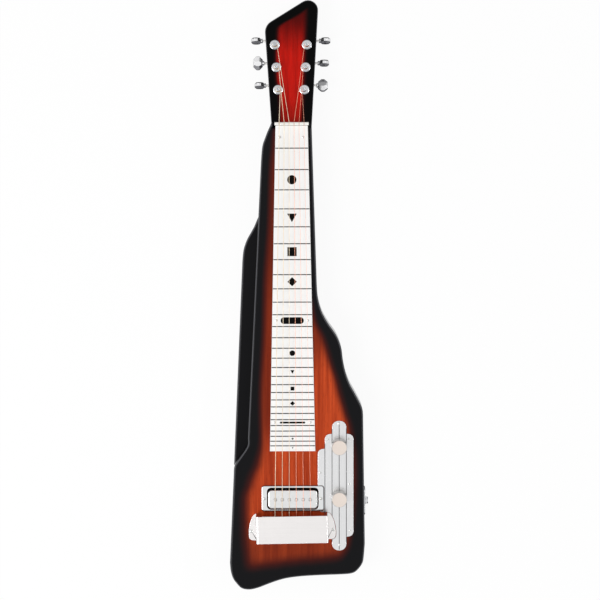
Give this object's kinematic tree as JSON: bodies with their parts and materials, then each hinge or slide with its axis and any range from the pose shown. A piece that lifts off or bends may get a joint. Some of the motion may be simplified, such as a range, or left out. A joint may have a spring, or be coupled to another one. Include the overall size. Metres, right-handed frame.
{
  "type": "lap steel guitar",
  "caption": "Solid-body lap steel guitar with a white fingerboard, a covered pickup and bridge, geared tuners, turning knobs and a side jack.",
  "frame": {"origin": "middle of the bounding box, on the plane of the flat back that lies on the lap", "axes": "+Y along the strings towards the head, +Z out of the face towards the strings, +X towards the treble side and the jack"},
  "size_m": [0.2, 0.8454, 0.0706],
  "materials": {
    "wood": "gloss sunburst lacquer, red middle and black edge",
    "white_plastic": "satin white",
    "bone": "polished",
    "black_plastic": "moulded",
    "chrome": "polished",
    "brushed": "brushed",
    "steel": "drawn",
    "knob": "satin",
    "copper": "enamelled wire",
    "magnet": "cast"
  },
  "bodies": {
    "root": {"tuner_1_housing": "chrome", "tuner_1_bushing": "chrome", "tuner_2_housing": "chrome", "tuner_2_bushing": "chrome", "tuner_3_housing": "chrome", "tuner_3_bushing": "chrome", "tuner_4_housing": "chrome", "tuner_4_bushing": "chrome", "tuner_5_housing": "chrome", "tuner_5_bushing": "chrome", "tuner_6_housing": "chrome", "tuner_6_bushing": "chrome", "body": "wood", "fingerboard": "white_plastic", "nut": "bone", "string_1": "steel", "string_2": "steel", "string_3": "steel", "string_4": "steel", "string_5": "steel", "string_6": "steel", "bridge_plate": "chrome", "saddle": "steel", "bridge_cover": "chrome", "pickup_ring": "chrome", "pickup_cover": "chrome", "pickup_magnet": "magnet", "pickup_pole_pieces": "steel", "pickup_bobbin": "black_plastic", "pickup_coil": "copper", "cover_screw_bass": "chrome", "cover_screw_treble": "chrome", "control_plate": "brushed", "tone_pot": "steel", "volume_pot": "steel", "jack_plate": "chrome", "jack_socket": "chrome"},
    "button_1": {"tuner_1_worm_shaft": "steel", "tuner_1_button": "chrome"},
    "post_1": {"tuner_1_post": "chrome"},
    "button_2": {"tuner_2_worm_shaft": "steel", "tuner_2_button": "chrome"},
    "post_2": {"tuner_2_post": "chrome"},
    "button_3": {"tuner_3_worm_shaft": "steel", "tuner_3_button": "chrome"},
    "post_3": {"tuner_3_post": "chrome"},
    "button_4": {"tuner_4_worm_shaft": "steel", "tuner_4_button": "chrome"},
    "post_4": {"tuner_4_post": "chrome"},
    "button_5": {"tuner_5_worm_shaft": "steel", "tuner_5_button": "chrome"},
    "post_5": {"tuner_5_post": "chrome"},
    "button_6": {"tuner_6_worm_shaft": "steel", "tuner_6_button": "chrome"},
    "post_6": {"tuner_6_post": "chrome"},
    "tone_knob": {"tone_pot_shaft": "steel", "tone_knob": "knob"},
    "volume_knob": {"volume_pot_shaft": "steel", "volume_knob": "knob"}
  },
  "joints": [
    {"name": "button_1_turn", "type": "hinge", "parent": "root", "child": "button_1", "pos_m": [0.00923, 0.30321, 0.0198], "axis": [1, 0, 0], "continuous": true},
    {"name": "post_1_turn", "type": "hinge", "parent": "root", "child": "post_1", "pos_m": [0.00923, 0.29595, 0.02499], "axis": [0, 0.0785, 0.9969], "continuous": true},
    {"name": "button_2_turn", "type": "hinge", "parent": "root", "child": "button_2", "pos_m": [0.01114, 0.33472, 0.01732], "axis": [1, 0, 0], "continuous": true},
    {"name": "post_2_turn", "type": "hinge", "parent": "root", "child": "post_2", "pos_m": [0.01114, 0.32745, 0.02251], "axis": [0, 0.0785, 0.9969], "continuous": true},
    {"name": "button_3_turn", "type": "hinge", "parent": "root", "child": "button_3", "pos_m": [0.01304, 0.36622, 0.01484], "axis": [1, 0, 0], "continuous": true},
    {"name": "post_3_turn", "type": "hinge", "parent": "root", "child": "post_3", "pos_m": [0.01304, 0.35895, 0.02003], "axis": [0, 0.0785, 0.9969], "continuous": true},
    {"name": "button_4_turn", "type": "hinge", "parent": "root", "child": "button_4", "pos_m": [-0.03225, 0.36622, 0.01484], "axis": [1, 0, 0], "continuous": true},
    {"name": "post_4_turn", "type": "hinge", "parent": "root", "child": "post_4", "pos_m": [-0.03225, 0.35895, 0.02003], "axis": [0, 0.0785, 0.9969], "continuous": true},
    {"name": "button_5_turn", "type": "hinge", "parent": "root", "child": "button_5", "pos_m": [-0.03, 0.33472, 0.01732], "axis": [1, 0, 0], "continuous": true},
    {"name": "post_5_turn", "type": "hinge", "parent": "root", "child": "post_5", "pos_m": [-0.03, 0.32745, 0.02251], "axis": [0, 0.0785, 0.9969], "continuous": true},
    {"name": "button_6_turn", "type": "hinge", "parent": "root", "child": "button_6", "pos_m": [-0.02775, 0.30321, 0.0198], "axis": [1, 0, 0], "continuous": true},
    {"name": "post_6_turn", "type": "hinge", "parent": "root", "child": "post_6", "pos_m": [-0.02775, 0.29595, 0.02499], "axis": [0, 0.0785, 0.9969], "continuous": true},
    {"name": "tone_turn", "type": "hinge", "parent": "root", "child": "tone_knob", "pos_m": [0.0581, -0.21076, 0.0465], "axis": [0, 0, 1], "range_deg": [-150, 150]},
    {"name": "volume_turn", "type": "hinge", "parent": "root", "child": "volume_knob", "pos_m": [0.0581, -0.28616, 0.0465], "axis": [0, 0, 1], "range_deg": [-150, 150]}
  ],
  "couplings": [
    {"joint": "post_1_turn", "follows": "button_1_turn", "ratio": 0.071429},
    {"joint": "post_2_turn", "follows": "button_2_turn", "ratio": 0.071429},
    {"joint": "post_3_turn", "follows": "button_3_turn", "ratio": 0.071429},
    {"joint": "post_4_turn", "follows": "button_4_turn", "ratio": -0.071429},
    {"joint": "post_5_turn", "follows": "button_5_turn", "ratio": -0.071429},
    {"joint": "post_6_turn", "follows": "button_6_turn", "ratio": -0.071429}
  ]
}
